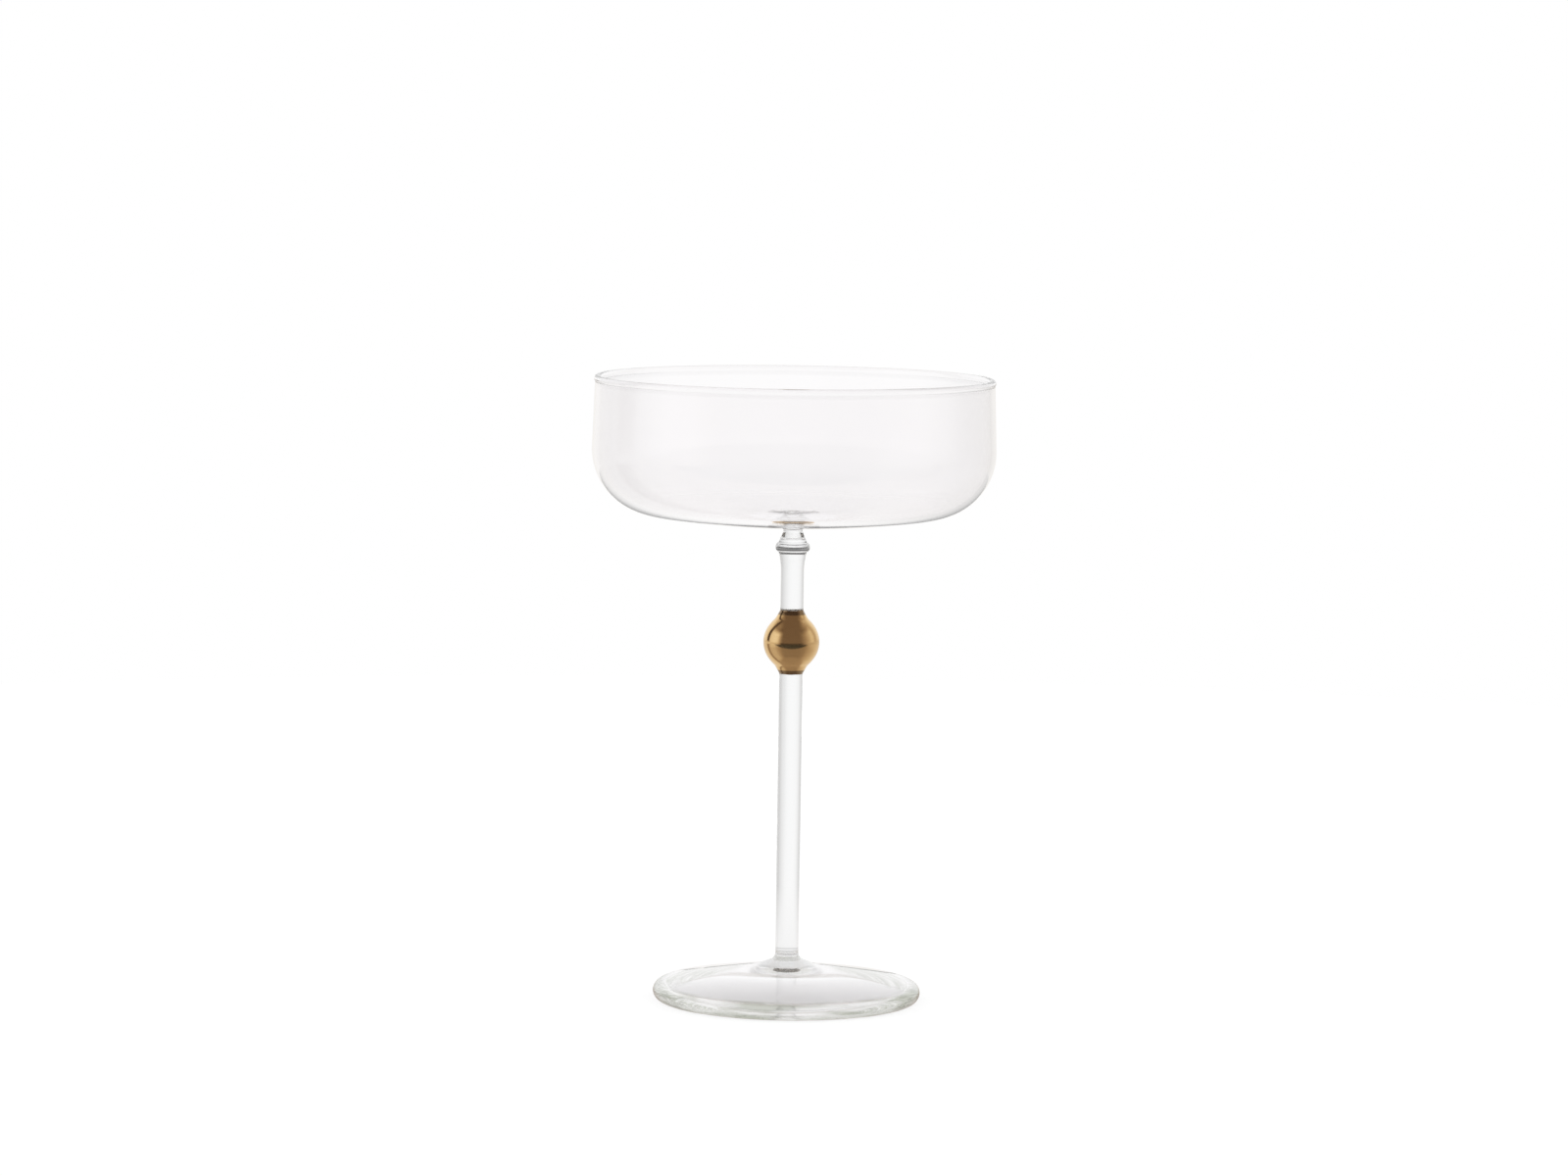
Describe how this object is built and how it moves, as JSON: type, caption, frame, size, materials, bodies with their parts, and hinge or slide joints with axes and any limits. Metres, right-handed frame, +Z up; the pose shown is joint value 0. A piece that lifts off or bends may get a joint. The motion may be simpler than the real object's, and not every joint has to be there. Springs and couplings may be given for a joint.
{
  "type": "coupe glass",
  "caption": "Stemmed coupe drinking glass: a wide shallow clear bowl on a slim rod stem with a round gold bead, standing on a disc foot.",
  "frame": {"origin": "middle of the circle that the foot stands on", "axes": "+Z up along the stem, through the bowl; +X and +Y are any two directions across it, with -Y towards the viewer"},
  "size_m": [0.105, 0.105, 0.1633],
  "materials": {
    "bowl_glass": "thin blown clear borosilicate, fire-polished",
    "stem_glass": "drawn clear borosilicate rod, flame-welded",
    "foot_glass": "thick clear glass with a faint green cast, slightly wavy",
    "gold_lustre": "bright fired gold lustre"
  },
  "bodies": {
    "root": {"foot": "foot_glass", "foot_button": "stem_glass", "lower_stem": "stem_glass", "bead": "stem_glass", "gold_lustre": "gold_lustre", "upper_stem": "stem_glass", "collar": "stem_glass", "neck": "stem_glass", "bowl": "bowl_glass"}
  },
  "joints": []
}
